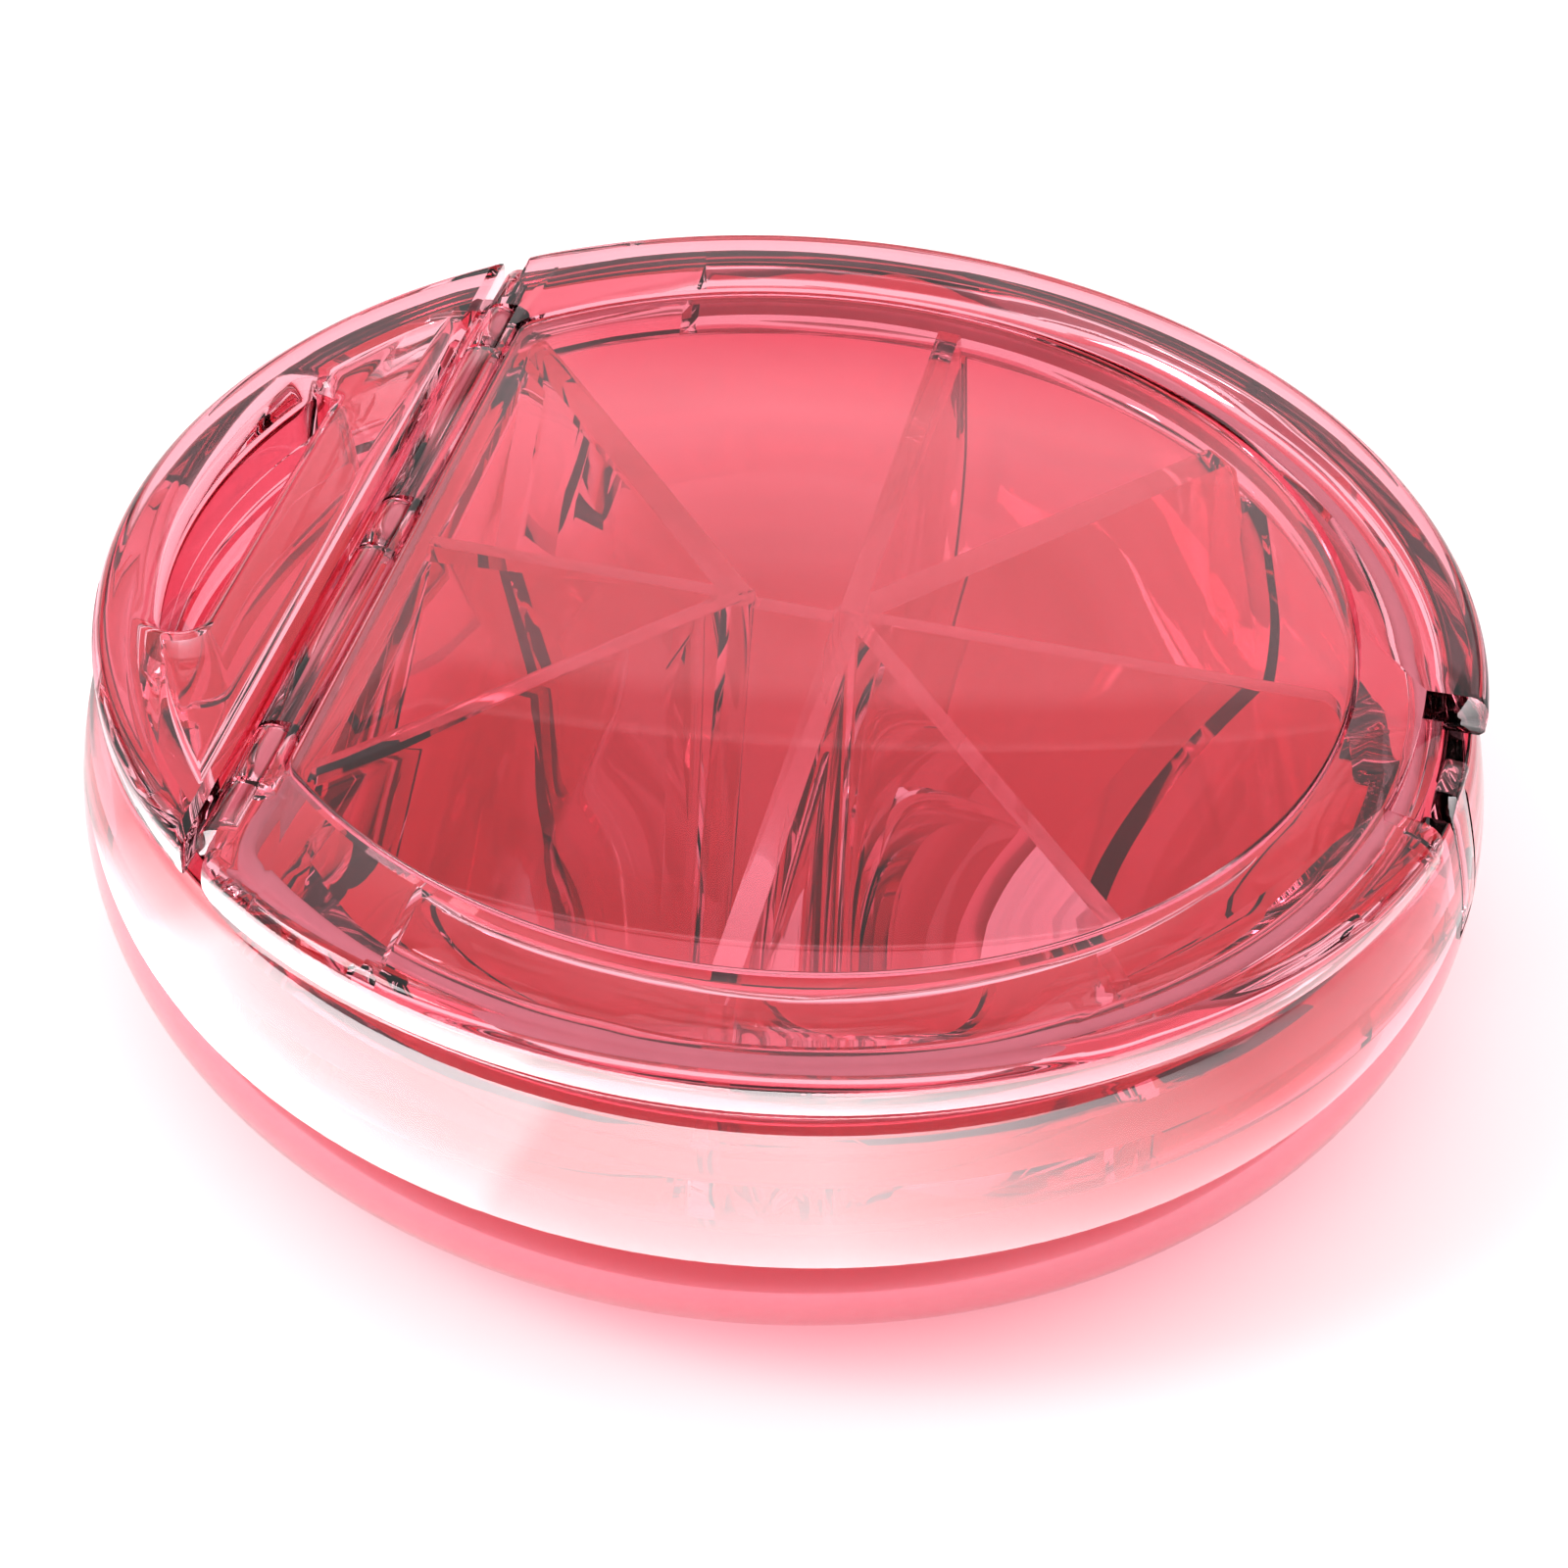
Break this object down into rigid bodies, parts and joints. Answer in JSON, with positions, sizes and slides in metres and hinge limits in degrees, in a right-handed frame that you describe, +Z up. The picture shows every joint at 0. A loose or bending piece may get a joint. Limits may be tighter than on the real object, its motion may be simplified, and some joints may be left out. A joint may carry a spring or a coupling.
{
  "type": "travel pill organizer",
  "caption": "Round flat pocket pill case with a clear hinged lid, a tray of wedge compartments, a thumb notch with a latch tab and a slot for a strap.",
  "frame": {"origin": "centre of the flat foot, on the surface the case stands on", "axes": "+Z up through the lid, +X from the hinge towards the thumb notch, +Y along the hinge line"},
  "size_m": [0.09, 0.09, 0.0265],
  "materials": {
    "pink_plastic": "clear tinted moulded plastic, polished",
    "pink_window": "clear tinted plastic pane, polished",
    "silicone": "soft translucent silicone",
    "steel_pin": "drawn steel wire"
  },
  "bodies": {
    "base": {"base_shell": "pink_plastic", "divider_tray": "pink_plastic", "seal_ring": "silicone", "rear_deck": "pink_plastic", "hinge_pin": "steel_pin"},
    "lid": {"lid_frame": "pink_plastic", "lid_window": "pink_window"},
    "latch": {"latch_tab": "pink_plastic"}
  },
  "joints": [
    {"name": "lid_hinge", "type": "hinge", "parent": "base", "child": "lid", "pos_m": [-0.0268, 0, 0.02505], "axis": [0, -1, 0], "range_deg": [0, 100]},
    {"name": "latch_flex", "type": "hinge", "parent": "base", "child": "latch", "pos_m": [0.04384, -0.00577, 0.01565], "axis": [0.1305, 0.9914, 0], "range_deg": [0, 6], "stiffness_Nm_per_rad": 0.2}
  ]
}
